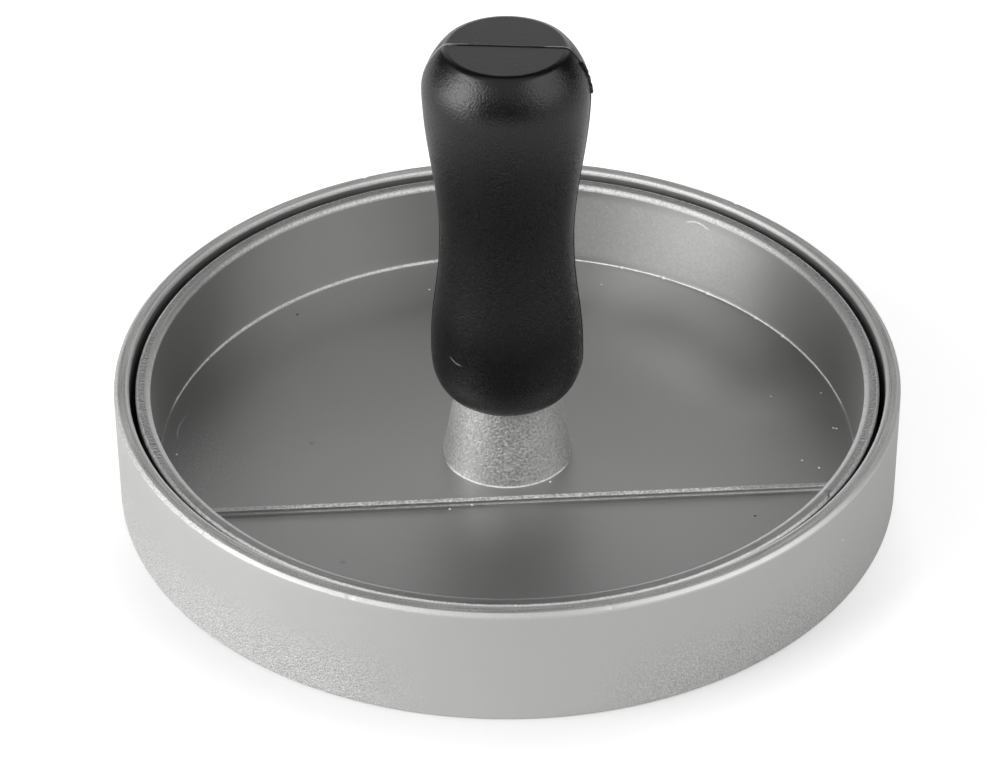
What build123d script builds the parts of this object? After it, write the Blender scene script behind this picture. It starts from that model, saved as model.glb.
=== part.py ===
from build123d import *
from math import cos, pi, radians, sin, tan
import os

# A burger press in millimetres. The base mould stands on Z = 0 with its centre on the Z axis.

# Base mould: a round dish with a foot ring under its floor.
mould_diameter = 125.0
mould_height = 20.0
mould_wall = 2.4
mould_floor = 1.7
mould_draft = 0.3
mould_rim_outer_round = 0.9
mould_rim_inner_round = 0.9
mould_corner_round = 1.2
mould_bottom_round = 0.5
foot_recess = 0.4
foot_width = 7.0
foot_round = 0.2

# Press plate: a shallow dish that drops into the mould and rests on its floor.
press_play = 0.95
press_rim_drop = 1.0
press_wall = 2.35
press_plate = 1.9
press_outer_draft = 0.3
press_inner_draft = 0.2
press_rim_outer_round = 0.5
press_rim_inner_round = 0.9

# Boss: the cone in the middle of the plate that carries the handle.
boss_height = 12.9
boss_foot_radius = 10.45
boss_seat_radius = 8.1
boss_foot_round = 0.3
boss_edge_round = 0.25

# Rib: a straight bar across the plate in front of the boss, from wall to wall.
rib_offset = 14.0
rib_turn = 3.5
rib_width = 0.95
rib_height = 0.8
rib_crest_round = 0.2

# Stud: a set screw, drawn at its outer thread diameter, with a key socket in each end.
stud_diameter = 8.0
stud_running_gap = 0.05
stud_in_boss = 11.0
stud_in_insert = 12.0
stud_chamfer = 0.8
key_width = 4.0
key_depth = 4.0
hole_end_room = 1.0
hole_countersink = 0.5
drill_point_angle = 118.0

# Insert: a knurled bush moulded into the grip, with a groove that the plastic grips.
insert_diameter = 13.0
insert_recess = 0.3
insert_end_wall = 1.5
insert_groove_depth = 0.8
insert_groove_width = 3.0
knurl_depth = 0.4
knurl_teeth = 28
moulded_gap = 0.02

# Grip: stations of its waisted outline, each height above the boss.
grip_seat_radius = 8.0
grip_low_radius = 12.0
grip_low_height = 6.6
grip_waist_radius = 10.4
grip_waist_height = 29.2
grip_high_radius = 12.8
grip_high_height = 54.5
grip_top_radius = 9.4
grip_height = 62.2
grip_top_round = 0.6
grip_lower_reach = 0.46
grip_upper_reach = 0.33
shoulder_start_reach = 2.7
shoulder_end_reach = 3.25
shoulder_end_angle = 43.0

# Parting ridge: the thin line that the grip's mould left over its top and down its sides.
ridge_height = 0.12
ridge_width = 0.3
ridge_turn = -4.0

# Bezier handle length that makes a quarter turn nearly elliptical.
quarter_turn_reach = 0.5523

# Places that follow from the sizes above.
mould_radius = mould_diameter / 2
mould_rim_bore = mould_radius - mould_wall
mould_floor_bore = mould_rim_bore - mould_draft
mould_floor_top = foot_recess + mould_floor
foot_bore = mould_radius - foot_width
press_rim_radius = mould_rim_bore - press_play
press_foot_radius = press_rim_radius - press_outer_draft
press_rim_bore = press_rim_radius - press_wall
press_floor_bore = press_rim_bore - press_inner_draft
press_foot_round = mould_corner_round + press_play
press_rim_top = mould_height - press_rim_drop
plate_top = mould_floor_top + press_plate
seat_height = plate_top + boss_height
stud_radius = stud_diameter / 2
hole_radius = stud_radius + stud_running_gap
insert_radius = insert_diameter / 2
insert_start = seat_height + insert_recess
insert_bore_depth = stud_in_insert - insert_recess + hole_end_room
insert_length = insert_bore_depth + insert_end_wall


def turned(corners):
    """Turn a closed outline about Z. Each corner is its radius, its height and its rounding."""
    points = [(radius, height) for radius, height, _ in corners]
    roundings = [rounding for _, _, rounding in corners]
    outline = FilletPolyline(points, radius=roundings, close=True)
    return revolve(Plane.XZ * make_face(outline), Axis.Z)


def base_mould():
    """The dish: foot ring, floor and a wall that narrows a little towards the floor."""
    return turned([
        (0, foot_recess, 0),
        (foot_bore, foot_recess, foot_round),
        (foot_bore, 0, foot_round),
        (mould_radius, 0, mould_bottom_round),
        (mould_radius, mould_height, mould_rim_outer_round),
        (mould_rim_bore, mould_height, mould_rim_inner_round),
        (mould_floor_bore, mould_floor_top, mould_corner_round),
        (0, mould_floor_top, 0),
    ])


def plate_rib():
    """The straight rib, cut off just inside the wall that its ends run into."""
    crest_height = plate_top + rib_height
    buried = press_plate / 2
    bar = Box(2 * press_rim_radius, rib_width, rib_height + buried)
    bar = fillet(bar.edges().filter_by(Axis.X).group_by(Axis.Z)[-1], rib_crest_round)
    bar = Pos(0, -rib_offset, crest_height - (rib_height + buried) / 2) * bar
    reach = Pos(0, 0, plate_top) * Cylinder(press_floor_bore + press_wall / 2, 2 * rib_height + 2 * buried)
    return (Rot(0, 0, rib_turn) * bar) & reach


def press_plate_casting():
    """Plate, rim wall, boss with its blind tapped hole, and the rib, all in one casting."""
    hole_bottom = seat_height - stud_in_boss - hole_end_room
    drill_point = hole_radius / tan(radians(drill_point_angle / 2))
    dish = turned([
        (0, mould_floor_top, 0),
        (press_foot_radius, mould_floor_top, press_foot_round),
        (press_rim_radius, press_rim_top, press_rim_outer_round),
        (press_rim_bore, press_rim_top, press_rim_inner_round),
        (press_floor_bore, plate_top, 0),
        (boss_foot_radius, plate_top, boss_foot_round),
        (boss_seat_radius, seat_height, boss_edge_round),
        (hole_radius + hole_countersink, seat_height, 0),
        (hole_radius, seat_height - hole_countersink, 0),
        (hole_radius, hole_bottom, 0),
        (0, hole_bottom - drill_point, 0),
    ])
    return dish + plate_rib()


def handle_stud():
    """The set screw, half in the boss and half in the insert."""
    bottom = seat_height - stud_in_boss
    top = seat_height + stud_in_insert
    screw = turned([
        (0, bottom, 0),
        (stud_radius - stud_chamfer, bottom, 0),
        (stud_radius, bottom + stud_chamfer, 0),
        (stud_radius, top - stud_chamfer, 0),
        (stud_radius - stud_chamfer, top, 0),
        (0, top, 0),
    ])
    socket = extrude(RegularPolygon(key_width / 2, 6, major_radius=False), key_depth)
    return screw - Pos(0, 0, bottom) * socket - Pos(0, 0, top - key_depth) * socket


def knurled_bar(outer_radius, length):
    """A bar with straight V teeth along it, standing on the XY plane."""
    points = []
    for step in range(2 * knurl_teeth):
        radius = outer_radius - knurl_depth * (step % 2)
        angle = pi * step / knurl_teeth
        points.append((radius * cos(angle), radius * sin(angle)))
    return extrude(make_face(Polyline(points, close=True)), length)


def insert_envelope(gap):
    """The insert's smooth outer form, larger by the gap all round."""
    radius = insert_radius + gap
    groove_radius = insert_radius - insert_groove_depth + gap
    groove_start = insert_start + (insert_length - insert_groove_width) / 2 + gap
    groove_end = groove_start + insert_groove_width - 2 * gap
    top = insert_start + insert_length + gap
    return turned([
        (0, insert_start, 0),
        (radius, insert_start, 0),
        (radius, groove_start, 0),
        (groove_radius, groove_start, 0),
        (groove_radius, groove_end, 0),
        (radius, groove_end, 0),
        (radius, top, 0),
        (0, top, 0),
    ])


def handle_insert():
    """The knurled bush with its groove and its blind threaded bore."""
    bar = Pos(0, 0, insert_start) * knurled_bar(insert_radius, insert_length)
    bore_end = insert_start + insert_bore_depth
    bore = turned([
        (0, insert_start, 0),
        (hole_radius + hole_countersink, insert_start, 0),
        (hole_radius, insert_start + hole_countersink, 0),
        (hole_radius, bore_end, 0),
        (0, bore_end, 0),
    ])
    return (bar & insert_envelope(0)) - bore


def grip_outline(swell):
    """Half of the grip's lengthwise section in X and Z, swollen outwards by the given amount."""
    def station(radius, height):
        return Vector(radius + swell, 0, seat_height + height)

    seat = station(grip_seat_radius, 0)
    low = station(grip_low_radius, grip_low_height)
    waist = station(grip_waist_radius, grip_waist_height)
    high = station(grip_high_radius, grip_high_height)
    edge = station(grip_top_radius, grip_height) + Vector(0, 0, swell)

    seat_reach = quarter_turn_reach * (low.X - seat.X)
    low_reach = quarter_turn_reach * (low.Z - seat.Z)
    lower_rise = grip_lower_reach * (waist.Z - low.Z)
    upper_rise = grip_upper_reach * (high.Z - waist.Z)
    slope = radians(shoulder_end_angle)
    shoulder = Vector(shoulder_end_reach * sin(slope), 0, -shoulder_end_reach * cos(slope))

    curves = [
        Bezier(seat, seat + Vector(seat_reach, 0, 0), low - Vector(0, 0, low_reach), low),
        Bezier(low, low + Vector(0, 0, lower_rise), waist - Vector(0, 0, lower_rise), waist),
        Bezier(waist, waist + Vector(0, 0, upper_rise), high - Vector(0, 0, upper_rise), high),
        Bezier(high, high + Vector(0, 0, shoulder_start_reach), edge + shoulder, edge),
    ]
    axis_top = Vector(0, 0, edge.Z)
    axis_seat = Vector(0, 0, seat.Z)
    closing = [Line(edge, axis_top), Line(axis_top, axis_seat), Line(axis_seat, seat)]
    return make_face(curves + closing)


def grip_cavity():
    """The space in the grip's foot that holds the insert, open down to the seat."""
    mouth_radius = insert_radius + moulded_gap
    mouth = Cylinder(mouth_radius, insert_recess, align=(Align.CENTER, Align.CENTER, Align.MIN))
    return insert_envelope(moulded_gap) + Pos(0, 0, seat_height) * mouth


def parting_ridge():
    """The thin ridge in the plane where the two halves of the grip's mould met."""
    half = grip_outline(ridge_height)
    blade = extrude(half, ridge_width / 2, both=True)
    blade = blade + mirror(blade, Plane.YZ)
    return Rot(0, 0, ridge_turn) * blade


def handle_grip():
    """The waisted grip with its flat top, its parting ridge and the cavity for the insert."""
    body = revolve(grip_outline(0), Axis.Z)
    body = fillet(body.edges().group_by(Axis.Z)[-1], grip_top_round)
    return body + parting_ridge() - grip_cavity()


pieces = {
    "base_mould": base_mould(),
    "press_plate": press_plate_casting(),
    "handle_stud": handle_stud(),
    "handle_insert": handle_insert(),
    "handle_grip": handle_grip(),
}

os.makedirs("parts", exist_ok=True)
for name, piece in pieces.items():
    export_step(piece, f"parts/{name}.step")
    print(name, len(piece.solids()), "solid,", round(piece.volume / 1000, 2), "cm3")
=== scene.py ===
# %% [markdown]
# # A burger press
#
# The press is two aluminium castings and a black grip. The lower casting is the mould that the meat lies
# in. The upper one drops into it and presses. An M8 stud joins the grip to the boss in its middle.
# The CAD model is loaded first, because it fixes every size and place. The cells after it set up the
# camera, the light and a few tools, and then build one piece or one finish at a time.

# %% Load the CAD model
import bmesh
import bpy
from functools import reduce
from math import cos, hypot, pi, radians, sin, tan
from mathutils import Matrix, Vector


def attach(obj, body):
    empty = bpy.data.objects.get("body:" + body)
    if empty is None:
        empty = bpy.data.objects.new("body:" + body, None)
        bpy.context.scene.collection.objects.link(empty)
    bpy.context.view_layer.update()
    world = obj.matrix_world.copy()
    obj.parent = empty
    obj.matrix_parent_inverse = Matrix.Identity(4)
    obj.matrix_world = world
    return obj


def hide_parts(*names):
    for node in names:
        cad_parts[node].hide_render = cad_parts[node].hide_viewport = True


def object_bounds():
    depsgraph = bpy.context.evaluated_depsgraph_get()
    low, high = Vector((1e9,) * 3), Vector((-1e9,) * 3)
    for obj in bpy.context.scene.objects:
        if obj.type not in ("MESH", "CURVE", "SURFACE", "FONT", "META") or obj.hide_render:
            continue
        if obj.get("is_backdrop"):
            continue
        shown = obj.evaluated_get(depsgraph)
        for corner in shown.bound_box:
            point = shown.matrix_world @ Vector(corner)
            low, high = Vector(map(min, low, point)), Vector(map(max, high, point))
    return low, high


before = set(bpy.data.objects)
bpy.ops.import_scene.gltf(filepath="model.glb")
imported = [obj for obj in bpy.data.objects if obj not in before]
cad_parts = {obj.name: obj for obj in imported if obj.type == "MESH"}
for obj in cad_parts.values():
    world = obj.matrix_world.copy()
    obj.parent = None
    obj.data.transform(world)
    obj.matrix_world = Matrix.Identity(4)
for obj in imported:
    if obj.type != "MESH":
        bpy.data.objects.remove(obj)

cad_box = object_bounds()
print("CAD nodes:", sorted(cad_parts))
print("CAD box in metres:", [[round(value, 5) for value in corner] for corner in cad_box])

# %% [markdown]
# ## Camera
#
# The camera looks down at the press from the front with a long lens. It could be placed by eye, but the
# ellipses of the rims fix its height and distance well, so these come from fitting those rims.
# It is built from three directions: forward, right and up. A slight roll turns the last two.

# %% Camera
photo_width = 1000
focal_in_pixels = 3706.2
camera_distance = 0.5910
camera_elevation = radians(35.44)
camera_roll = radians(-0.30)
aim_height = 0.01875
aim_right = 0.00115
aim_up = 0.00116

forward = Vector((0, cos(camera_elevation), -sin(camera_elevation)))
level_right = Vector((1, 0, 0))
level_up = Vector((0, sin(camera_elevation), cos(camera_elevation)))
right = cos(camera_roll) * level_right + sin(camera_roll) * level_up
up = cos(camera_roll) * level_up - sin(camera_roll) * level_right
eye = Vector((0, 0, aim_height)) - aim_right * level_right - aim_up * level_up - camera_distance * forward

camera_data = bpy.data.cameras.new("camera")
camera_data.sensor_width = 36
camera_data.lens = focal_in_pixels * camera_data.sensor_width / photo_width
camera = bpy.data.objects.new("camera", camera_data)
camera.matrix_world = Matrix.Translation(eye) @ Matrix((right, up, -forward)).transposed().to_4x4()
bpy.context.scene.collection.objects.link(camera)
bpy.context.scene.camera = camera
bpy.context.scene.view_settings.view_transform = "Standard"
print("camera at", [round(value, 4) for value in eye], "with a lens of", round(camera_data.lens, 1), "mm")

# %% [markdown]
# ## Shader maths
#
# A material is a tree of nodes. Adding every Math node by hand hides the idea behind it, so one small
# class wraps a socket and lets shader maths be written as Python expressions. A second class is the
# tree itself, with one method that adds any other node.

# %% Shader maths
class Value:
    """A socket's value. Sums, products and powers of it add Math nodes."""

    def __init__(self, paint, socket):
        self.paint = paint
        self.socket = socket

    def math(self, operation, first, second=0.0, clamp=False):
        settings = {"operation": operation, "use_clamp": clamp}
        return self.paint.node("Math", settings, {0: first, 1: second})

    def __add__(self, other):
        return self.math("ADD", self, other)

    def __sub__(self, other):
        return self.math("SUBTRACT", self, other)

    def __rsub__(self, other):
        return self.math("SUBTRACT", other, self)

    def __mul__(self, other):
        return self.math("MULTIPLY", self, other)

    def __truediv__(self, other):
        return self.math("DIVIDE", self, other)

    def __pow__(self, other):
        return self.math("POWER", self, other)

    __radd__ = __add__
    __rmul__ = __mul__

    def size(self):
        return self.math("ABSOLUTE", self)

    def clamped(self):
        return self.math("ADD", self, 0.0, clamp=True)

    def either(self, other):
        """The larger of two masks."""
        return self.math("MAXIMUM", self, other)

    def rise(self, low, high):
        """A smooth step from 0 at low to 1 at high."""
        settings = {"interpolation_type": "SMOOTHSTEP"}
        return self.paint.node("MapRange", settings, {"Value": self, "From Min": low, "From Max": high})

    def band(self, low, high, soft):
        """1 between low and high, and 0 outside, with soft ends."""
        return self.rise(low - soft, low + soft) * (1 - self.rise(high - soft, high + soft))


def largest(*masks):
    """The largest of several masks."""
    return reduce(Value.either, masks)


class Paint:
    """A node tree, with one method that adds any kind of node."""

    def __init__(self, tree):
        self.tree = tree
        self.tree.nodes.clear()

    def node(self, kind, settings=None, inputs=None, output=0):
        """Add a node: first its settings, then the value or link of each input."""
        node = self.tree.nodes.new("ShaderNode" + kind)
        for name, value in (settings or {}).items():
            setattr(node, name, value)
        for name, value in (inputs or {}).items():
            if isinstance(value, Value):
                self.tree.links.new(value.socket, node.inputs[name])
            else:
                node.inputs[name].default_value = value
        return Value(self, node.outputs[output]) if node.outputs else node

    def millimetres(self):
        """The place on the object, in millimetres: as a vector, and as its three numbers."""
        place = self.node("TexCoord", output="Object")
        place = self.node("VectorMath", {"operation": "SCALE"}, {0: place, "Scale": 1000.0})
        parts = [self.node("SeparateXYZ", inputs={0: place}, output=axis) for axis in "XYZ"]
        return place, *parts

    def vector(self, x, y, z):
        return self.node("CombineXYZ", inputs={"X": x, "Y": y, "Z": z})

    def noise(self, place, size, detail=2.0):
        """Soft random values around 0.5, whose blots are about the given size."""
        return self.node("TexNoise", inputs={"Vector": place, "Scale": 1 / size, "Detail": detail})

    def tint(self, colour, strength):
        """A colour, made brighter or darker by a value around 1."""
        settings = {"operation": "MULTIPLY"}
        return self.node("VectorMath", settings, {0: colour, 1: self.vector(strength, strength, strength)})

    def mix(self, mask, first, second):
        """The first colour where the mask is 0, and the second where it is 1."""
        return self.node("Mix", {"data_type": "RGBA"}, {0: mask, 6: first, 7: second}, output=2)

    def distance(self, place, centre):
        """How far the place on the object is from a centre, in millimetres."""
        return self.node("VectorMath", {"operation": "DISTANCE"}, {0: place, 1: centre}, output="Value")

    def spot(self, place, centre, size):
        """A soft round spot of the given size, which is 1 in its middle."""
        return 1 - self.distance(place, centre).rise(size / 4, size / 2)

    def spots(self, place, centres, size):
        """The same spot around several places."""
        return largest(*[self.spot(place, centre, size) for centre in centres])

    def ring(self, place, centre, radius, width):
        """A thin line, where a sphere around a place cuts the surface."""
        from_line = (self.distance(place, centre) - radius).size()
        return 1 - from_line.rise(width / 4, width / 2)

    def bump(self, height):
        """A normal from a height in millimetres."""
        return self.node("Bump", inputs={"Height": height * 0.001, "Distance": 1.0})

    def surface(self, **sockets):
        """Finish the tree with a Principled shader. Words in a socket's name are joined by _."""
        inputs = {name.replace("_", " "): value for name, value in sockets.items()}
        shader = self.node("BsdfPrincipled", inputs=inputs)
        self.node("OutputMaterial", inputs={"Surface": shader})


def new_paint(name):
    """A new material, and the Paint that draws it."""
    material = bpy.data.materials.new(name)
    material.use_nodes = True
    return material, Paint(material.node_tree)


# %% [markdown]
# ## Floor and light
#
# The press was photographed on a white sweep. More light would burn out the metal, so the floor is
# made white for the eye alone: Light Path tells the camera's rays from the rays that carry light. The
# glow is added to an ordinary matt surface, so the press keeps its shadow. Close to the press the glow
# is dimmed as a painted shadow, most of all in front and on the left, where the real shadow is darkest.

# %% Floor
floor_size = 6.0
floor_colour = (0.74, 0.74, 0.74, 1)
camera_glow = 0.48
glow_at_press = 0.27
glow_on_right = 0.35
glow_behind = 0.4
shade_start = 60.0
shade_end = 86.0

bpy.ops.object.select_all(action="DESELECT")
bpy.ops.mesh.primitive_plane_add(size=floor_size)
floor = bpy.context.object
floor.name = "floor"
material, paint = new_paint("white_sweep")
matt = paint.node("BsdfDiffuse", inputs={"Color": floor_colour})
camera_ray = paint.node("LightPath", output="Is Camera Ray")
_, x, y, _ = paint.millimetres()
away = (x * x + y * y) ** 0.5
# Painted shadow: the glow is lower near the press, least so on the right and behind it.
glow = glow_at_press + x.rise(0, 60) * glow_on_right + y.rise(-45, 5) * glow_behind
glow = glow + away.rise(shade_start, shade_end) * (1 - glow_at_press)
glow = paint.tint((1, 1, 1), glow.clamped())
glow = paint.node("Emission", inputs={"Color": glow, "Strength": camera_ray * camera_glow})
shader = paint.node("AddShader", inputs={0: matt, 1: glow})
paint.node("OutputMaterial", inputs={"Surface": shader})
floor.data.materials.append(material)
floor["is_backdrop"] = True
print("floor:", floor_size, "m square")

# %% [markdown]
# The grip is black and satin, so its highlights say where the lamps stand. There is a bright soft box
# on the left, with a low panel under it that lights the rims and a dim panel behind it, a weaker box on
# the right, a white wall behind with a dimmer sweep above it, which the plate mirrors, and a dim panel
# over the front. Each lamp is placed by the direction that it shines from. Its brightness is that of
# its face, so a larger lamp isn't a brighter one.

# %% Lamps
def around(azimuth, radius, height):
    """A place beside the Z axis. Azimuth is in degrees from the front, towards the right."""
    side = radians(azimuth)
    return Vector((radius * sin(side), -radius * cos(side), height))


def lamp(name, azimuth, elevation, distance, wide, high, brightness):
    """A soft box that faces the press. All its angles, wide and high too, are in degrees."""
    width = 2 * distance * tan(radians(wide / 2))
    height = 2 * distance * tan(radians(high / 2))
    data = bpy.data.lights.new(name, "AREA")
    data.shape = "RECTANGLE"
    data.size = width
    data.size_y = height
    data.energy = brightness * pi * width * height
    obj = bpy.data.objects.new(name, data)
    flat = distance * cos(radians(elevation))
    obj.location = around(azimuth, flat, distance * sin(radians(elevation)))
    obj.rotation_euler = obj.location.to_track_quat("Z", "Y").to_euler()
    obj.visible_camera = False
    bpy.context.scene.collection.objects.link(obj)


lamp("left_soft_box", azimuth=-68, elevation=28, distance=1.0, wide=36, high=34, brightness=5.4)
lamp("left_low_panel", azimuth=-75, elevation=7, distance=1.2, wide=50, high=12, brightness=4.1)
lamp("left_side_panel", azimuth=-100, elevation=26, distance=1.2, wide=28, high=40, brightness=0.4)
lamp("right_soft_box", azimuth=68, elevation=30, distance=1.2, wide=52, high=42, brightness=1.55)
lamp("back_wall", azimuth=180, elevation=12, distance=1.4, wide=64, high=20, brightness=1.7)
lamp("back_sweep", azimuth=180, elevation=33, distance=1.4, wide=64, high=22, brightness=0.62)
lamp("front_panel", azimuth=0, elevation=60, distance=1.2, wide=90, high=70, brightness=0.5)

# %% [markdown]
# The world fills what the lamps leave. Shiny surfaces see a dark grey room. The matt floor gets more
# from it, as from a white ceiling far above, which gives the press its soft shadow all round. The
# camera sees white.

# %% World
room_brightness = 0.02
ceiling_brightness = 0.23

world = bpy.data.worlds.new("studio")
world.use_nodes = True
bpy.context.scene.world = world
paint = Paint(world.node_tree)
matt_ray = paint.node("LightPath", output="Is Diffuse Ray")
light = matt_ray * ceiling_brightness + room_brightness
room = paint.node("Background", inputs={"Color": (1, 1, 1, 1), "Strength": light})
backdrop = paint.node("Background", inputs={"Color": (1, 1, 1, 1), "Strength": 1.0})
camera_ray = paint.node("LightPath", output="Is Camera Ray")
shader = paint.node("MixShader", inputs={0: camera_ray, 1: room, 2: backdrop})
paint.node("OutputWorld", inputs={"Surface": shader})

# %% [markdown]
# ## Turning on the lathe
#
# Every piece of the press is round, so one tool makes them all. Half of the section is drawn as a line
# from the axis to the axis, point by point. Its corners are rounded with a vertex bevel, and the line is
# spun about Z. Stacking cylinders would be quicker, but would leave hard corners that catch no light.

# %% Drawing and selecting
mm = 0.001


def start_piece(name, radius, height):
    """A new mesh in edit mode that is a single point of a half section."""
    bpy.ops.object.select_all(action="DESELECT")
    bpy.ops.mesh.primitive_plane_add(size=mm)
    piece = bpy.context.object
    piece.name = piece.data.name = name
    bpy.ops.object.mode_set(mode="EDIT")
    bpy.ops.mesh.select_all(action="SELECT")
    bpy.ops.mesh.merge(type="CENTER")
    bpy.ops.transform.translate(value=(radius * mm, 0, height * mm))
    return piece


def pick(piece, test, kind="VERT"):
    """In edit mode, select what passes the test and nothing else. Returns how many passed."""
    bpy.ops.mesh.select_mode(type=kind)
    bpy.ops.mesh.select_all(action="DESELECT")
    mesh = bmesh.from_edit_mesh(piece.data)
    parts = {"VERT": mesh.verts, "EDGE": mesh.edges, "FACE": mesh.faces}[kind]
    chosen = [part for part in parts if test(part)]
    for part in chosen:
        part.select_set(True)
    mesh.select_flush_mode()
    bmesh.update_edit_mesh(piece.data)
    return len(chosen)


def station(point):
    """A point's distance from the axis and its height, in millimetres."""
    return hypot(point.x, point.y) / mm, point.z / mm


def near(point, corner):
    """Whether a point lies at a corner's radius and height, to a thousandth of a millimetre."""
    radius, height = station(point)
    return abs(radius - corner[0]) < 0.001 and abs(height - corner[1]) < 0.001


# %% [markdown]
# A vertex bevel asks how far from the corner it starts. For a rounding of radius r between two lines
# that meet at an angle, that distance is r divided by the tangent of half the angle.

# %% The lathe
def round_corner(piece, before, corner, after, rounding, segments):
    """Replace one corner of the drawn line by an arc."""
    here = Vector(corner)
    angle = (Vector(before) - here).angle(Vector(after) - here)
    pick(piece, lambda vertex: near(vertex.co, corner))
    start = rounding / tan(angle / 2) * mm
    bpy.ops.mesh.bevel(offset=start, segments=segments, profile=0.5, affect="VERTICES")


def turn(name, corners, steps):
    """Draw a half section from the axis to the axis, round its corners and spin it.

    Each corner is its radius, its height, its rounding and the segments of that rounding.
    """
    line = [corner[:2] for corner in corners]
    piece = start_piece(name, *line[0])
    for (radius, height), (next_radius, next_height) in zip(line, line[1:]):
        step = ((next_radius - radius) * mm, 0, (next_height - height) * mm)
        bpy.ops.mesh.extrude_vertices_move(TRANSFORM_OT_translate={"value": step})
    for index, (_, _, rounding, segments) in enumerate(corners):
        if rounding:
            round_corner(piece, line[index - 1], line[index], line[index + 1], rounding, segments)
    bpy.ops.mesh.select_all(action="SELECT")
    bpy.ops.mesh.spin(steps=steps, angle=2 * pi, center=(0, 0, 0), axis=(0, 0, 1))
    clean()
    print(name, "turned from", len(corners), "corners in", steps, "steps")
    return piece


def between(start, end, height):
    """The point of the line from start to end at that height, as a corner without rounding."""
    share = (height - start[1]) / (end[1] - start[1])
    return start[0] + share * (end[0] - start[0]), height, 0, 0


def clean():
    """In edit mode, close the seam and the poles of a piece, and point every face outwards."""
    bpy.ops.mesh.select_mode(type="VERT")
    bpy.ops.mesh.select_all(action="SELECT")
    bpy.ops.mesh.remove_doubles(threshold=0.001 * mm)
    bpy.ops.mesh.normals_make_consistent(inside=False)


# %% [markdown]
# Cast and handled metal isn't geometrically true. A Displace modifier with a cloud texture moves the
# points of the edges by 0.04 to 0.2 mm, which is enough to break up their highlights.
# The rims are only pushed inwards, so that the piece stays inside the CAD model's box. The foot of the
# wall and the rib may grow a little too, because nothing is near them.

# %% Worn edges
def roughen(piece, test, grain, depth, outwards=0.0):
    """Move the points that pass the test along their normals. outwards is the share that goes out."""
    count = pick(piece, test)
    group = piece.vertex_groups.new(name="worn")
    bpy.ops.object.vertex_group_assign()
    bpy.ops.object.mode_set(mode="OBJECT")
    clouds = bpy.data.textures.new("worn_metal", "CLOUDS")
    clouds.noise_scale = grain * mm
    clouds.noise_depth = 2
    worn = piece.modifiers.new("worn", "DISPLACE")
    worn.texture = clouds
    worn.vertex_group = group.name
    worn.strength = depth * mm
    worn.mid_level = 1 - outwards
    bpy.ops.object.modifier_apply(modifier=worn.name)
    piece.vertex_groups.clear()
    bpy.ops.object.mode_set(mode="EDIT")
    print(piece.name, "roughened points:", count)


def dent(piece, azimuth, radius, height, reach, push):
    """Push the points near one place of a rim in and down."""
    middle = around(azimuth, radius, height) * mm
    if pick(piece, lambda vertex: (vertex.co - middle).length < reach * mm):
        in_and_down = around(azimuth, -1, -1).normalized()
        bpy.ops.transform.translate(value=in_and_down * push * mm)


def finish_piece(piece, body, nodes, smooth_angle=32):
    """Shade the piece, place it on its body and let it stand for its CAD nodes."""
    bpy.ops.object.mode_set(mode="OBJECT")
    bpy.ops.object.shade_smooth_by_angle(angle=radians(smooth_angle))
    weighted = piece.modifiers.new("weighted", "WEIGHTED_NORMAL")
    weighted.keep_sharp = True
    bpy.ops.object.modifier_apply(modifier=weighted.name)
    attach(piece, body)
    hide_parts(*nodes)
    print(piece.name, "has", len(piece.data.polygons), "faces")


# %% [markdown]
# ## The mould
#
# The mould is a cast dish with a foot ring. Its rim has a small chamfer outside and a narrow worn lip
# inside, and these two edges draw its brightest lines, so their corners are rounded with a few segments
# each. A ring of points a little below the rim keeps the shading of those corners off the long wall.
# The wall is turned in 720 steps of half a millimetre, so that small dents fit in.

# %% The mould's sizes
mould_radius = 62.5
mould_height = 20.0
mould_wall = 2.4
mould_draft = 0.3
mould_floor = 1.7
mould_corner_round = 1.2
mould_bottom_round = 0.5
mould_chamfer = 0.52
lip_width = 0.2
lip_drop = 0.3
foot_recess = 0.4
foot_width = 7.0
foot_round = 0.2
ring_drop = 1.6
casting_steps = 720

mould_rim_bore = mould_radius - mould_wall
mould_floor_bore = mould_rim_bore - mould_draft
mould_floor_top = foot_recess + mould_floor
foot_bore = mould_radius - foot_width
mould_mouth = (mould_rim_bore, mould_height)
mould_corner = (mould_floor_bore, mould_floor_top)

mould = turn("mould_dish", [
    (0, foot_recess, 0, 0),
    (foot_bore, foot_recess, foot_round, 3),
    (foot_bore, 0, foot_round, 3),
    (mould_radius, 0, mould_bottom_round, 5),
    (mould_radius, mould_height - ring_drop, 0, 0),
    (mould_radius, mould_height - mould_chamfer, 0.3, 4),
    (mould_radius - mould_chamfer, mould_height, 0.2, 4),
    (mould_rim_bore + lip_width, mould_height, 0.3, 5),
    between(mould_mouth, mould_corner, mould_height - lip_drop),
    between(mould_mouth, mould_corner, mould_height - ring_drop),
    (*mould_corner, mould_corner_round, 6),
    (0, mould_floor_top, 0, 0),
], casting_steps)

# %% [markdown]
# The rim shows nicks where the press knocked against it. About half of them are on the left, towards
# the front, and the others lie all round it. They are given by their azimuths in degrees.

# %% The mould's wear
rim_wear_drop = 0.9
edge_inset = 0.25
mould_nicks = [-85, -83, -65, -57, -53, -48, -22, 14, 37, 96, 141, 203, 248]

roughen(mould, lambda v: v.co.z > (mould_height - rim_wear_drop) * mm, grain=0.6, depth=0.05)
for azimuth in mould_nicks:
    dent(mould, azimuth, mould_radius - edge_inset, mould_height - edge_inset, reach=0.45, push=0.15)
clean()
finish_piece(mould, "mould", ["base_mould"])
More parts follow.
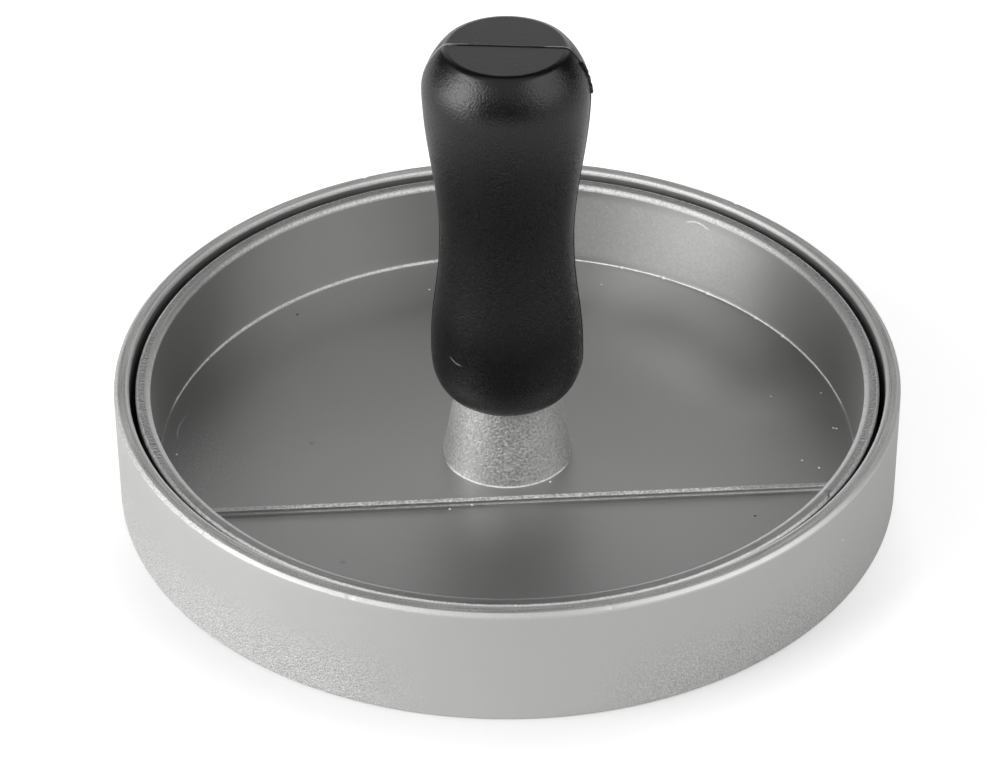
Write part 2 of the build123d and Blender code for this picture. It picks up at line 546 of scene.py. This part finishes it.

# %% [markdown]
# ## The press plate
#
# One casting holds the plate, its rim wall, the cone of the boss and a low rib across the front. Its
# small forms are finer here than in the CAD solid. The rim has a chamfer outside and a bevel inside,
# and small fillets join the plate to its wall and to the boss. Their thin bright lines come partly
# from the fillets and partly from painted highlights. The wall's foot lies 0.35 mm further in than in
# the CAD solid, because the photograph shows its line there.

# %% The press plate's sizes
press_play = 0.95
press_rim_drop = 1.0
press_wall = 2.35
press_outer_draft = 0.3
press_inner_draft = 0.55
press_plate = 1.9
press_foot_round = 2.15
press_chamfer = 0.36
bevel_width = 0.65
bevel_drop = 0.5
wall_foot_fillet = 0.22
boss_foot_radius = 10.45
boss_seat_radius = 8.1
boss_height = 12.9
boss_foot_fillet = 0.18
boss_edge_round = 0.25
stud_hole_radius = 4.05
stud_hole_countersink = 0.5
stud_hole_depth = 12.0
drill_point_angle = radians(118)

press_rim_radius = mould_rim_bore - press_play
press_foot_radius = press_rim_radius - press_outer_draft
press_rim_bore = press_rim_radius - press_wall
press_floor_bore = press_rim_bore - press_inner_draft
press_rim_top = mould_height - press_rim_drop
plate_top = mould_floor_top + press_plate
seat_height = plate_top + boss_height
stud_hole_bottom = seat_height - stud_hole_depth
drill_point = stud_hole_radius / tan(drill_point_angle / 2)
print("plate's top at", round(plate_top, 3), "mm, grip's seat at", round(seat_height, 3), "mm")

press_foot = (press_foot_radius, mould_floor_top)
press_edge = (press_rim_radius, press_rim_top)
press_mouth = (press_rim_bore, press_rim_top)
press_corner = (press_floor_bore, plate_top)

# %% The press plate's form
outer_ring_drop = 1.4
plate_ring = 0.8

press = turn("press_dish", [
    (0, mould_floor_top, 0, 0),
    (*press_foot, press_foot_round, 6),
    between(press_foot, press_edge, press_rim_top - outer_ring_drop),
    (press_rim_radius, press_rim_top - press_chamfer, 0.12, 3),
    (press_rim_radius - press_chamfer, press_rim_top, 0.12, 3),
    (press_rim_bore + bevel_width, press_rim_top, 0.5, 5),
    between(press_mouth, press_corner, press_rim_top - bevel_drop),
    between(press_mouth, press_corner, press_rim_top - ring_drop),
    between(press_mouth, press_corner, plate_top + plate_ring),
    (*press_corner, wall_foot_fillet, 4),
    (press_floor_bore - plate_ring, plate_top, 0, 0),
    (boss_foot_radius, plate_top, boss_foot_fillet, 4),
    (boss_seat_radius, seat_height, boss_edge_round, 4),
    (stud_hole_radius + stud_hole_countersink, seat_height, 0, 0),
    (stud_hole_radius, seat_height - stud_hole_countersink, 0, 0),
    (stud_hole_radius, stud_hole_bottom, 0, 0),
    (0, stud_hole_bottom - drill_point, 0, 0),
], casting_steps)

# %% [markdown]
# The press plate's rim is nicked too. Each nick has its azimuth and how far it is pushed in, in
# millimetres. The deepest one is the notch at the front right.

# %% The press plate's wear
notch_azimuth = 56.3
press_nicks = {-71: 0.15, -56: 0.12, -54: 0.12, -52: 0.12, -50: 0.1, -46: 0.1, 18: 0.1, 23: 0.1,
               39: 0.12, notch_azimuth: 0.2, 118: 0.12, 171: 0.1, 224: 0.12}


def on_rim(vertex):
    """Whether a point is on the top of the press plate's wall."""
    radius, height = station(vertex.co)
    return radius > press_floor_bore and height > press_rim_top - 0.8


def wall_foot(vertex):
    """Whether a point is on the fillet between the plate and its wall."""
    radius, height = station(vertex.co)
    return radius > press_floor_bore - 0.6 and mould_floor_top + 0.5 < height < plate_top + 0.6


roughen(press, on_rim, grain=0.6, depth=0.04)
roughen(press, wall_foot, grain=0.5, depth=0.2, outwards=0.6)
for azimuth, push in press_nicks.items():
    dent(press, azimuth, press_rim_radius - 0.1, press_rim_top - 0.1, reach=0.4, push=push)
clean()
bpy.ops.object.mode_set(mode="OBJECT")

# %% [markdown]
# The rib is a cast bar with a rough crest and a splayed foot. It is shaped as its own bar: a cube with
# its top edges rounded, a cut a little above the plate, and the foot below it scaled outwards. It is cut
# into short steps along its length, so that its crest and foot can be roughened. Then a Boolean union
# makes it one casting with the plate.

# %% The rib
rib_offset = 14.0
rib_turn = radians(3.5)
rib_width = 0.95
rib_height = 0.8
rib_buried = 0.9
rib_crest_round = 0.2
rib_foot_height = 0.2
rib_foot_spread = 1.3
rib_reach = press_floor_bore + 1.2
rib_rough_reach = 37.0
rib_cuts = 360
rib_top = plate_top + rib_height
rib_foot_top = plate_top + rib_foot_height
rib_middle = rib_top - (rib_height + rib_buried) / 2

bpy.ops.object.select_all(action="DESELECT")
bpy.ops.mesh.primitive_cube_add(size=1, location=(0, -rib_offset * mm, rib_middle * mm))
rib = bpy.context.object
rib.name = "rib_bar"
half_length = (rib_reach ** 2 - rib_offset ** 2) ** 0.5
rib.scale = (2 * half_length * mm, rib_width * mm, (rib_height + rib_buried) * mm)
bpy.ops.object.transform_apply(location=True, rotation=True, scale=True)
bpy.ops.object.mode_set(mode="EDIT")


def along_x(edge):
    """Whether an edge runs along the bar."""
    return abs(edge.verts[0].co.x - edge.verts[1].co.x) > mm


pick(rib, lambda edge: along_x(edge) and edge.verts[0].co.z > (rib_top - 0.01) * mm, "EDGE")
bpy.ops.mesh.bevel(offset=rib_crest_round * mm, segments=4, profile=0.5, affect="EDGES")
bpy.ops.mesh.select_all(action="SELECT")
bpy.ops.mesh.bisect(plane_co=(0, 0, rib_foot_top * mm), plane_no=(0, 0, 1))
pick(rib, lambda vertex: vertex.co.z < plate_top * mm)
bpy.ops.transform.resize(value=(1, rib_foot_spread, 1), center_override=(0, -rib_offset * mm, 0))
pick(rib, along_x, "EDGE")
bpy.ops.mesh.subdivide(number_cuts=rib_cuts)


# %% The rib's wear
def rough_part(vertex, low, high):
    """Whether a point is in the rough middle of the bar, between two heights."""
    return abs(vertex.co.x) < rib_rough_reach * mm and low * mm < vertex.co.z < high * mm


roughen(rib, lambda v: rough_part(v, rib_foot_top, rib_top + 1), grain=0.45, depth=0.16, outwards=0.3)
roughen(rib, lambda v: rough_part(v, 0, rib_foot_top + 0.02), grain=0.6, depth=0.15, outwards=0.5)
bpy.ops.mesh.select_all(action="SELECT")
bpy.ops.transform.rotate(value=-rib_turn, orient_axis="Z", center_override=(0, 0, 0))
clean()
bpy.ops.object.mode_set(mode="OBJECT")
print("rib runs from", [round(value / mm, 2) for value in rib.bound_box[0]])

# %% One casting
def fuse(piece, other, operation):
    """Join, cut or intersect a piece with another, which is then gone."""
    bpy.ops.object.select_all(action="DESELECT")
    piece.select_set(True)
    bpy.context.view_layer.objects.active = piece
    step = piece.modifiers.new(operation.lower(), "BOOLEAN")
    step.operation = operation
    step.object = other
    step.solver = "EXACT"
    bpy.ops.object.modifier_apply(modifier=step.name)
    bpy.data.objects.remove(other)


fuse(press, rib, "UNION")
bpy.ops.object.mode_set(mode="EDIT")
finish_piece(press, "press", ["press_plate"])

# %% [markdown]
# ## The stud
#
# The stud is an M8 set screw. It hides between the boss and the grip until the grip is unscrewed, and
# then its thread shows. A Screw modifier winds one turn of the thread's outline up the stud. The wound
# thread is then cut to length, and its ends are chamfered by intersecting it with a plain bar that is
# just wider than the thread. A hexagonal key socket is cut into each end.

# %% The stud's thread
stud_radius = 4.0
stud_in_boss = 11.0
stud_in_grip = 12.0
thread_pitch = 1.25
thread_root = stud_radius - 0.61 * thread_pitch
thread_crest = stud_radius - 0.01
crest_width = thread_pitch / 8
thread_turns = 21

stud_bottom = seat_height - stud_in_boss
stud_top = seat_height + stud_in_grip
thread_start = stud_bottom - 1.5 * thread_pitch
thread_depth = thread_crest - thread_root
thread_flank = (thread_pitch - 2 * crest_width) / 2
thread_outline = [(thread_depth, thread_flank), (0, crest_width),
                  (-thread_depth, thread_flank), (0, crest_width)]

stud = start_piece("threaded_stud", thread_root, thread_start)
for step_out, step_up in thread_outline:
    move = {"value": (step_out * mm, 0, step_up * mm)}
    bpy.ops.mesh.extrude_vertices_move(TRANSFORM_OT_translate=move)
bpy.ops.object.mode_set(mode="OBJECT")
winding = stud.modifiers.new("winding", "SCREW")
winding.screw_offset = thread_pitch * mm
winding.iterations = thread_turns
winding.steps = winding.render_steps = 64
winding.use_merge_vertices = True
winding.merge_threshold = 0.001 * mm
bpy.ops.object.modifier_apply(modifier=winding.name)
bpy.ops.object.mode_set(mode="EDIT")
clean()
print("the thread winds", thread_turns, "turns from a height of", round(thread_start, 3), "mm")

# %% The stud's ends
stud_chamfer = 0.8
key_width = 4.0
key_depth = 4.0
spare_thread = 0.3
bar_radius = stud_radius + 0.02
key_radius = key_width / 2 / cos(radians(30))

for level, away in ((stud_bottom - spare_thread, -1), (stud_top + spare_thread, 1)):
    bpy.ops.mesh.select_all(action="SELECT")
    bpy.ops.mesh.bisect(plane_co=(0, 0, level * mm), plane_no=(0, 0, away),
                        use_fill=True, clear_outer=True)
clean()
bpy.ops.object.mode_set(mode="OBJECT")

bar = turn("bar", [
    (0, stud_bottom, 0, 0),
    (stud_radius - stud_chamfer, stud_bottom, 0, 0),
    (bar_radius, stud_bottom + stud_chamfer, 0, 0),
    (bar_radius, stud_top - stud_chamfer, 0, 0),
    (stud_radius - stud_chamfer, stud_top, 0, 0),
    (0, stud_top, 0, 0),
], 96)
bpy.ops.object.mode_set(mode="OBJECT")
fuse(stud, bar, "INTERSECT")
for end in (stud_bottom, stud_top):
    bpy.ops.object.select_all(action="DESELECT")
    bpy.ops.mesh.primitive_cylinder_add(vertices=6, radius=key_radius * mm, depth=2 * key_depth * mm,
                                        location=(0, 0, end * mm))
    fuse(stud, bpy.context.object, "DIFFERENCE")
bpy.ops.object.mode_set(mode="EDIT")
clean()
finish_piece(stud, "stud", ["handle_stud"], smooth_angle=25)

# %% [markdown]
# ## The grip
#
# The grip is a waisted, solid moulding with a flat top. Its side is four smooth curves from the seat to
# the top, and each is a cubic Bezier curve: two end points, and two control points that set how it
# leaves and arrives. Points along the curves become the corners of the turned section. The last three
# of them make room for the rounding of the top's edge.

# %% The grip's outline
grip_seat = (8.0, 0.0)
grip_low = (12.0, 6.6)
grip_waist = (10.4, 29.2)
grip_high = (12.8, 54.5)
grip_edge = (9.4, 62.2)
quarter_turn_reach = 0.5523
lower_reach = 0.46
upper_reach = 0.33
shoulder_start_reach = 2.7
shoulder_end_reach = 3.25
shoulder_end_angle = radians(43)


def bezier(start, control, other_control, end, pieces):
    """Points along a curve, without its first."""
    points = []
    for step in range(1, pieces + 1):
        t = step / pieces
        weights = ((1 - t) ** 3, 3 * t * (1 - t) ** 2, 3 * t * t * (1 - t), t ** 3)
        ends = (start, control, other_control, end)
        points.append(tuple(sum(w * p[axis] for w, p in zip(weights, ends)) for axis in (0, 1)))
    return points


def moved(point, out, rise):
    """A point moved out and up."""
    return point[0] + out, point[1] + rise


seat_out = quarter_turn_reach * (grip_low[0] - grip_seat[0])
low_drop = quarter_turn_reach * (grip_low[1] - grip_seat[1])
lower_rise = lower_reach * (grip_waist[1] - grip_low[1])
upper_rise = upper_reach * (grip_high[1] - grip_waist[1])
shoulder_out = shoulder_end_reach * sin(shoulder_end_angle)
shoulder_drop = shoulder_end_reach * cos(shoulder_end_angle)
above_high = moved(grip_high, 0, shoulder_start_reach)
before_edge = moved(grip_edge, shoulder_out, -shoulder_drop)
curves = [
    (grip_seat, moved(grip_seat, seat_out, 0), moved(grip_low, 0, -low_drop), grip_low, 14),
    (grip_low, moved(grip_low, 0, lower_rise), moved(grip_waist, 0, -lower_rise), grip_waist, 22),
    (grip_waist, moved(grip_waist, 0, upper_rise), moved(grip_high, 0, -upper_rise), grip_high, 24),
    (grip_high, above_high, before_edge, grip_edge, 18),
]
side = [grip_seat]
for curve in curves:
    side += bezier(*curve)
print("the grip's side has", len(side), "points")

# %% The grip
insert_radius = 6.5
insert_height = 14.5
moulded_gap = 0.02
cavity_radius = insert_radius + moulded_gap
cavity_top = seat_height + insert_height + moulded_gap
grip_top = seat_height + grip_edge[1]
grip_top_rounding = 1.5
points_for_rounding = 3
grip_steps = 288

section = [(0, cavity_top, 0, 0), (cavity_radius, cavity_top, 0, 0), (cavity_radius, seat_height, 0, 0)]
section += [(radius, seat_height + height, 0, 0) for radius, height in side[:-points_for_rounding]]
section += [(grip_edge[0], grip_top, grip_top_rounding, 8), (0, grip_top, 0, 0)]
grip = turn("grip", section, grip_steps)

# %% [markdown]
# Where the two halves of the grip's mould met, the plastic made a thin ridge. Two cuts, 0.3 mm apart,
# mark a strip right over the grip, and the strip is raised by 0.12 mm. On the right shoulder some of it
# tore and stands out as a ragged fin.

# %% The parting ridge
ridge_width = 0.3
ridge_height = 0.12
ridge_turn = radians(-4)
ridge_round = 0.11
across = Vector((-sin(ridge_turn), cos(ridge_turn), 0))

for away in (-1, 1):
    bpy.ops.mesh.select_all(action="SELECT")
    bpy.ops.mesh.bisect(plane_co=across * away * ridge_width / 2 * mm, plane_no=across)


def on_ridge(face):
    """Whether a face is on the strip, and not in the cavity or on the seat."""
    middle = face.calc_center_median()
    radius, height = station(middle)
    outside = radius > cavity_radius + 1 or height > cavity_top + 1
    return abs(middle.dot(across)) < ridge_width / 2 * mm and outside and height > seat_height + 0.5


print("faces on the ridge:", pick(grip, on_ridge, "FACE"))
bpy.ops.mesh.extrude_region_shrink_fatten(TRANSFORM_OT_shrink_fatten={"value": ridge_height * mm})
bpy.ops.mesh.region_to_loop()
bpy.ops.mesh.bevel(offset=ridge_round * mm, segments=3, profile=0.5, affect="EDGES")

# %% Torn flash
flash_low = 71.0
flash_high = 76.8
flash_out = 0.16
flash_raggedness = 0.16


def on_flash(face):
    """Whether a face is on the outer side of the ridge, where it is torn."""
    middle = face.calc_center_median()
    faces_out = abs(face.normal.dot(across)) < 0.5
    on_strip = abs(middle.dot(across)) < 0.45 * ridge_width * mm
    return on_strip and faces_out and middle.x > 5 * mm and flash_low * mm < middle.z < flash_high * mm


print("torn faces:", pick(grip, on_flash, "FACE"))
bpy.ops.mesh.extrude_region_shrink_fatten(TRANSFORM_OT_shrink_fatten={"value": flash_out * mm})
bpy.ops.transform.vertex_random(offset=flash_raggedness * mm, uniform=1.0, seed=7)
clean()
finish_piece(grip, "handle", ["handle_grip"], smooth_angle=40)

# %% [markdown]
# ## Blasted aluminium
#
# Both castings look blasted with grit: they are a grey satin with a fine grain. The grain is coarser
# on the boss and low on the outer wall, and the rims are scuffed along their length. Edges that are
# worn bare show a brighter metal, and painted highlights are drawn in the same colour. Painted shade
# darkens other places. One function draws both castings. It is given the places where a casting
# differs as masks, which are mostly values from 0 to 1 over its surface.

# %% Aluminium
bare_and_highlight_tone = (0.92, 0.92, 0.91)
scuff_width = 0.13
scuff_length = 12.0
cloud_size = 22.0
fine_size = 0.28
fine_depth = 0.006
scuff_depth = 0.04
dark_mark_depth = 0.1


def scuffs(paint, x, y, z, radius):
    """Noise drawn out along the circumference. Its vector has no seam, unlike an angle."""
    turns = mould_radius / scuff_length
    place = paint.vector(x / radius * turns, y / radius * turns, (radius + z) / scuff_width)
    return paint.noise(place, 1.0, detail=3.0) - 0.5


def blasted(name, tone, masks, roughness, grit_size):
    """A blasted casting. masks gives where it is gritty, scuffed, worn and painted bright, polished,
    grainy, stained and painted dark.
    """
    material, paint = new_paint(name)
    place, x, y, z = paint.millimetres()
    radius = (x * x + y * y) ** 0.5
    gritty, scuffed, bare_and_highlight, polished, grains, dark = masks(paint, place, x, y, z, radius)
    clouds = paint.noise(place, cloud_size, detail=3.0) - 0.5
    fine = paint.noise(place, fine_size) - 0.5
    grit = paint.noise(place, grit_size, detail=1.0) - 0.5
    lines = scuffs(paint, x, y, z, radius) * scuffed
    bare_and_highlight = (bare_and_highlight + bare_and_highlight * grit * 2.0).clamped()

    # Worn metal and painted highlights take the bright tone; stains and painted shade darken the colour.
    brightened = bare_and_highlight.either(grains).either(polished)
    strength = 1 + clouds * 0.08 + grit * gritty * 0.35 + lines * 1.2 - scuffed * 0.28
    height = fine * fine_depth + grit * (gritty * 0.08 + bare_and_highlight * 0.1)
    height = height + lines * scuff_depth - dark * dark_mark_depth
    paint.surface(
        Base_Color=paint.tint(paint.mix(brightened, (*tone, 1), (*bare_and_highlight_tone, 1)), strength * (1 - dark * 0.8)),
        Metallic=1 - grains - bare_and_highlight * 0.3,
        Roughness=roughness + clouds * 0.1 + bare_and_highlight * 0.2 + lines * 0.3 - polished * 0.3,
        Normal=paint.bump(height),
    )
    print(name, "has", len(material.node_tree.nodes), "nodes")
    return material


# %% [markdown]
# The mould's masks follow the photograph. The grit shows low on the outer wall. The lip is worn almost
# bare, and the rest of the rim a little. Its chamfer is polished at the front right and gritty on the
# left. The inside of the wall, where the press slides, is made darker as painted shade of the gap.

# %% The mould's finish
mould_tone = (0.635, 0.635, 0.63)
wall_grit = 3.0
rim_grit = 1.2
edge_grit = 1.6
chip_centre = (50.9, -36.2, 13.2)
chip_size = 0.5


def mould_masks(paint, place, x, y, z, radius):
    """Where the mould is gritty, scuffed, worn to the metal, polished and chipped, and where it has painted
    shade.
    """
    rim = z.rise(mould_height - 1.0, mould_height - 0.6)
    rim_top = rim * radius.band(mould_rim_bore + 0.5, mould_radius - 0.7, 0.1)
    lip = rim * (1 - radius.rise(mould_rim_bore + 0.25, mould_rim_bore + 0.4))
    lip = lip * (1 - x.size().rise(42, 58) * 0.7)
    right_edge = rim * radius.rise(mould_radius - 0.65, mould_radius - 0.5)
    right_edge = right_edge * x.rise(-5, 20) * (1 - y.rise(-30, -12))
    left_edge = rim * radius.rise(mould_radius - 0.8, mould_radius - 0.6) * (1 - x.rise(-30, -8))

    low_wall = (1 - z.rise(3, 15)) * x.size().rise(8, 26) * (1 - x.rise(45, 57) * 0.7)
    # Painted shade: the inside of the wall, in the gap around the press, is made darker.
    inner_wall_shade = (1 - radius.rise(mould_rim_bore + 0.05, mould_rim_bore + 0.15)) * z.rise(3, 4)
    inner_wall_shade = inner_wall_shade * (1 - z.rise(mould_height - 0.9, mould_height - 0.5))

    gritty_edge = left_edge * (1 - x.rise(-50, -40) * 0.8)
    gritty = low_wall * wall_grit + rim_top * rim_grit + gritty_edge * edge_grit
    scuffed = rim_top.either(left_edge * 0.25)
    bare_and_highlight = (lip * 0.85).either(rim * 0.22 * (1 - left_edge * 0.2))
    chip = paint.spot(place, chip_centre, chip_size)
    return gritty, scuffed, bare_and_highlight, right_edge * 0.45, chip, inner_wall_shade * 0.6


mould_finish = blasted("mould_aluminium", mould_tone, mould_masks, roughness=0.6, grit_size=0.25)
mould.data.materials.append(mould_finish)

# %% [markdown]
# The plate has a few marks of its own: bright grains that stuck to the casting, small dark pits, faint
# stains, an arc scratched at the left, a curved scratch high on the wall at the back, and the notch in
# the rim. Each is a soft spot or a thin ring around a place on the object, given in millimetres.

# %% The press plate's marks
plate_grains = [(-53.4, -1.1), (6.8, -9.0), (-5.7, -15.0), (-9.2, -16.0), (16.4, 47.4), (51.8, 15.0),
                (43.5, 14.1), (-13.2, 46.1), (-12.3, 43.9), (53.1, 5.2), (53.6, 5.0), (47.4, -3.6),
                (50.0, -5.6)]
plate_pits = [(-35.6, 38.7), (39.0, -18.2)]
plate_stains = [(-31.7, 1.6), (-25.7, -29.6)]
arc_centre = (-44.75, 5.0, plate_top)
arc_middle = (-53.3, 6.5, plate_top)
arc_radius = 8.95
scratch_centre = (32.6, 46.4, 13.6)
scratch_radius = 3.57
notch = around(notch_azimuth, press_rim_radius - edge_inset, press_rim_top)


def on_plate(points):
    """Places on the plate's top."""
    return [(x, y, plate_top) for x, y in points]


def scratches(paint, place, z):
    """The scratch high on the wall, and the fainter arc on the plate."""
    on_wall = paint.ring(place, scratch_centre, scratch_radius, 0.5) * z.band(16.5, 18, 0.1)
    arc = paint.ring(place, arc_centre, arc_radius, 0.3) * paint.spot(place, arc_middle, 9)
    return largest(on_wall * 0.9, arc * 0.35)


def dark_marks(paint, place):
    """Pits, faint stains and the notch."""
    stains = paint.spots(place, on_plate(plate_stains), 1.2)
    return largest(paint.spots(place, on_plate(plate_pits), 0.6), stains * 0.2, paint.spot(place, notch, 1))


# %% [markdown]
# The casting shines on its edges: where the plate meets the wall and the boss, on the rib's crest and
# foot, and on the rim. The lines at the feet of the wall, the boss and the rib are painted highlights,
# while the crest and the rim get a brighter metal. Each of these is a mask over a narrow band of
# distances from the axis or from the rib. The line at the foot of the wall gets wider at the back left,
# and a few spikes stand on it.

# %% The press plate's edges
foot_spikes = [159, 151, 142, 131, 124]
foot_widening = 0.32
rib_side = rib_width / 2


def wall_foot_line(paint, place, x, y, z, radius):
    """A painted highlight on the line where the plate meets its wall, with its spikes. It fades out towards
    the front.
    """
    wide = foot_widening * (1 - x.rise(-14, -4)) * y.rise(12, 40)
    line = (radius + wide).rise(press_floor_bore - 0.18, press_floor_bore - 0.1)
    line = line * (1 - (z - wide * 0.4).rise(plate_top + 0.15, plate_top + 0.25)) * y.rise(9, 14)
    spikes = [around(azimuth, press_floor_bore - 0.1, plate_top) for azimuth in foot_spikes]
    return line.either(paint.spots(place, spikes, 0.9))


def rib_masks(x, y, z, low):
    """The rib's rough crest, the painted highlight along its foot, and its faces, which get painted shade.
    """
    from_rib = (x * sin(rib_turn) - y * cos(rib_turn) - rib_offset).size()
    crest = (1 - from_rib.rise(rib_side - 0.075, rib_side + 0.005)) * z.rise(rib_top - 0.3, rib_top - 0.15)
    crest = crest * (1 - z.rise(6, 7)) * (0.65 - x.size().rise(33, 40) * 0.35)
    foot = from_rib.band(rib_side + 0.005, rib_side + 0.165, 0.04) * low * x.rise(-52, -28)
    faces = from_rib.band(rib_side - 0.035, rib_side + 0.085, 0.02)
    faces = faces * z.band(rib_foot_top + 0.02, rib_top - 0.22, 0.03)
    return crest, foot, faces


def rim_masks(x, y, z, radius):
    """The rim's flat top, its outer edge, and the bevel inside it."""
    rim = z.rise(press_rim_top - 1.0, press_rim_top - 0.7)
    top = rim * radius.band(press_rim_bore + 0.9, press_rim_radius - 0.35, 0.1)
    outer_edge = rim * radius.rise(press_rim_radius - 0.53, press_rim_radius - 0.45)
    bevel = rim * (1 - radius.rise(press_rim_bore + 0.1, press_rim_bore + 0.9))
    bevel = bevel * (1 - x.size().rise(38, 54) * 0.6) * (0.35 + y.rise(-30, 0) * 0.65)
    return top, outer_edge, bevel


# %% [markdown]
# Two wide zones differ from the rest at the back right: the corner of the plate gets painted shade, and
# the wall above it painted light. The outside of the wall, in the gap to the mould, gets painted shade
# as well, and so do the rib's faces. All of it comes together in one function for the press plate.

# %% The press plate's finish
press_tone = (0.485, 0.485, 0.481)
painted_shade_side = 130
painted_light_side = 158
scraped_place = (-50, -4, plate_top)
scraped_size = 26


def facing(x, y, radius, azimuth, low, high):
    """A mask that rises towards one side. Azimuth is in degrees from the front, towards the right."""
    side = radians(azimuth)
    return ((x * sin(side) - y * cos(side)) / radius).rise(low, high)


def press_masks(paint, place, x, y, z, radius):
    """Where the press plate is gritty, scuffed, worn, painted bright, polished, grainy, stained and painted
    dark.
    """
    low = 1 - z.rise(plate_top + 0.2, plate_top + 0.3)
    boss = z.rise(plate_top + 0.05, plate_top + 0.2)
    boss = boss * (1 - radius.rise(boss_foot_radius - 0.1, boss_foot_radius + 0.05))
    # Painted highlight along the front of the boss's foot.
    boss_foot_highlight = radius.band(boss_foot_radius - 0.05, boss_foot_radius + 0.17, 0.04)
    boss_foot_highlight = boss_foot_highlight * low * (1 - y.rise(-7, -2))
    crest, rib_foot_highlight, rib_face_shade = rib_masks(x, y, z, low)
    rim_top, outer_edge, bevel = rim_masks(x, y, z, radius)

    # Painted light: the wall at the back right is made lighter.
    wall = radius.band(press_floor_bore - 0.75, press_rim_bore + 0.7, 0.2)
    wall = wall * z.band(plate_top + 1, press_rim_top - 2, 1)
    wall = wall * facing(x, y, radius, painted_light_side, 0.84, 0.96)
    # Painted shade: the corner of the plate at the back right is made darker.
    corner = radius.rise(33, 46) * (1 - radius.rise(press_floor_bore - 0.4, press_floor_bore - 0.2))
    corner = corner * facing(x, y, radius, painted_shade_side, 0.88, 1) * low
    # Painted shade: the outside of the wall, in the gap to the mould.
    outside = radius.rise(press_rim_radius - 0.55, press_rim_radius - 0.45)
    outside = outside * (1 - z.rise(press_rim_top - 0.9, press_rim_top - 0.6))

    gritty = boss * (0.9 + x.band(-2, 4, 2) * 1.1) + rim_top * (0.5 + y.rise(-40, -15) * 1.5)
    gritty = gritty + crest * 3 + paint.spot(place, scraped_place, scraped_size) * 0.5
    # Brighter metal. The lines at the feet of the wall, the boss and the rib are painted highlights.
    bare_and_highlight = largest(
        wall_foot_line(paint, place, x, y, z, radius),
        scratches(paint, place, z),
        boss_foot_highlight,
        boss * 0.4,
        crest,
        rib_foot_highlight * 0.45,
        bevel,
        outer_edge * (0.6 + y.rise(0, 20) * 0.4),
        wall * 0.25,
    )
    polished = outer_edge * (1 - y.rise(-40, -20)) * x.rise(0, 15) * 0.6
    grains = paint.spots(place, on_plate(plate_grains), 0.5)
    # Dark: pits, stains and the notch, and painted shade in the gap, on the rib's faces and in the corner.
    dark = largest(dark_marks(paint, place), outside * 0.6, rib_face_shade * 0.35, corner * 0.55)
    return gritty, rim_top * 0.6, bare_and_highlight, polished, grains, dark


press_finish = blasted("press_aluminium", press_tone, press_masks, roughness=0.47, grit_size=0.42)
press.data.materials.append(press_finish)

# %% [markdown]
# ## Steel, brass and plastic
#
# The photograph shows neither the stud nor the insert, so their finishes are the usual ones: zinc
# plated steel, a smooth grey with a faint cloudiness, and turned brass. The insert stays hidden in the
# grip, so its CAD solid is kept and only gets a material.

# %% Steel
material, paint = new_paint("stud_steel")
place, *_ = paint.millimetres()
clouds = paint.noise(place, 3.0) - 0.5
grain = paint.noise(place, 0.15) - 0.5
paint.surface(
    Base_Color=paint.tint((0.55, 0.55, 0.56), 1 + clouds * 0.25),
    Metallic=1.0,
    Roughness=0.3 + clouds * 0.2,
    Normal=paint.bump(grain * 0.004),
)
stud.data.materials.append(material)
print(material.name, "is on", stud.name)

# %% Brass
material, paint = new_paint("insert_brass")
place, _, _, z = paint.millimetres()
clouds = paint.noise(place, 2.5) - 0.5
lines = paint.noise(paint.vector(0.0, 0.0, z / 0.12), 1.0) - 0.5
paint.surface(
    Base_Color=paint.tint((0.72, 0.56, 0.28), 1 + clouds * 0.3),
    Metallic=1.0,
    Roughness=0.32 + clouds * 0.2,
    Normal=paint.bump(lines * 0.008),
)
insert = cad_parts["handle_insert"]
insert.data.materials.clear()
insert.data.materials.append(material)
print(material.name, "is on", insert.name)

# %% [markdown]
# The grip's plastic is black with a very fine grain, which only shows inside a highlight. A pale line
# behind the parting ridge, near the edge of the grip's top and on its left shoulder, is a painted
# highlight, and a short curved scratch lies low on the front. Both are drawn in one grey.

# %% Black plastic
highlight_and_scratch_colour = (0.22, 0.22, 0.225, 1)
grip_scratch_centre = (-7.2, -8.9, 30.3)
grip_scratch_middle = (-7.7, -8.3, 27.4)
grip_scratch_radius = 3.25

material, paint = new_paint("grip_plastic")
place, x, y, z = paint.millimetres()
clouds = paint.noise(place, 9.0) - 0.5
on_side = 1 - z.rise(grip_top - 1.5, grip_top - 0.5) * 0.8
grain = (paint.noise(place, 0.34, detail=3.0) - 0.5) * on_side
behind_ridge = y * cos(ridge_turn) - x * sin(ridge_turn)
# Painted highlight: a pale line behind the ridge, on the top's edge and on the left shoulder.
on_top = behind_ridge.band(-0.05, 0.2, 0.03) * z.rise(70, 72) * (x * x + y * y).rise(30, 40)
on_left = behind_ridge.band(-0.3, 0.12, 0.03) * z.rise(70, 74) * (1 - x.rise(-9, -7))
scratch = paint.ring(place, grip_scratch_centre, grip_scratch_radius, 0.25)
scratch = scratch * paint.spot(place, grip_scratch_middle, 3.2)
black = paint.tint((0.002, 0.002, 0.0024), 1 + clouds * 0.3)
paint.surface(
    Base_Color=paint.mix(largest(on_top, on_left, scratch), black, highlight_and_scratch_colour),
    Roughness=0.28 + clouds * 0.05 + grain * 0.1,
    IOR=1.54,
    Normal=paint.bump(grain * 0.08),
)
grip.data.materials.append(material)
print(material.name, "is on", grip.name)

# %% [markdown]
# ## Finish
#
# The boxes of the CAD model and of the visual model are printed, so that they can be compared.
# The visual model has to stay inside the CAD model's box.

# %% Finish
boxes = {"cad": cad_box, "visual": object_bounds()}
for which, corners in boxes.items():
    boxes[which] = [[float(value) for value in corner] for corner in corners]
    print(which, "box:", [[round(value, 5) for value in corner] for corner in boxes[which]])
